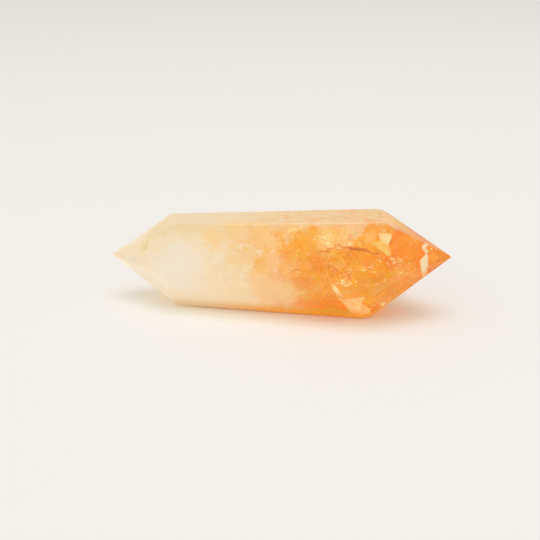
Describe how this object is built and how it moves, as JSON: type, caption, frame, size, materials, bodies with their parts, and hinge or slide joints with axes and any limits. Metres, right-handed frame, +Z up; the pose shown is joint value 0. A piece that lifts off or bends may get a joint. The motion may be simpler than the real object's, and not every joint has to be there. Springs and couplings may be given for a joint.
{
  "type": "citrine crystal point",
  "caption": "Double-ended citrine point: a six-sided quartz crystal lying on one side, milky at one end and clear orange at the other.",
  "frame": {"origin": "under the middle of the crystal's box, on the surface that it lies on", "axes": "+X along the crystal to the clear orange tip, -Y to the front, +Z up"},
  "size_m": [0.08, 0.0262, 0.0231],
  "materials": {
    "citrine": "polished"
  },
  "bodies": {
    "root": {"citrine_point": "citrine"}
  },
  "joints": []
}
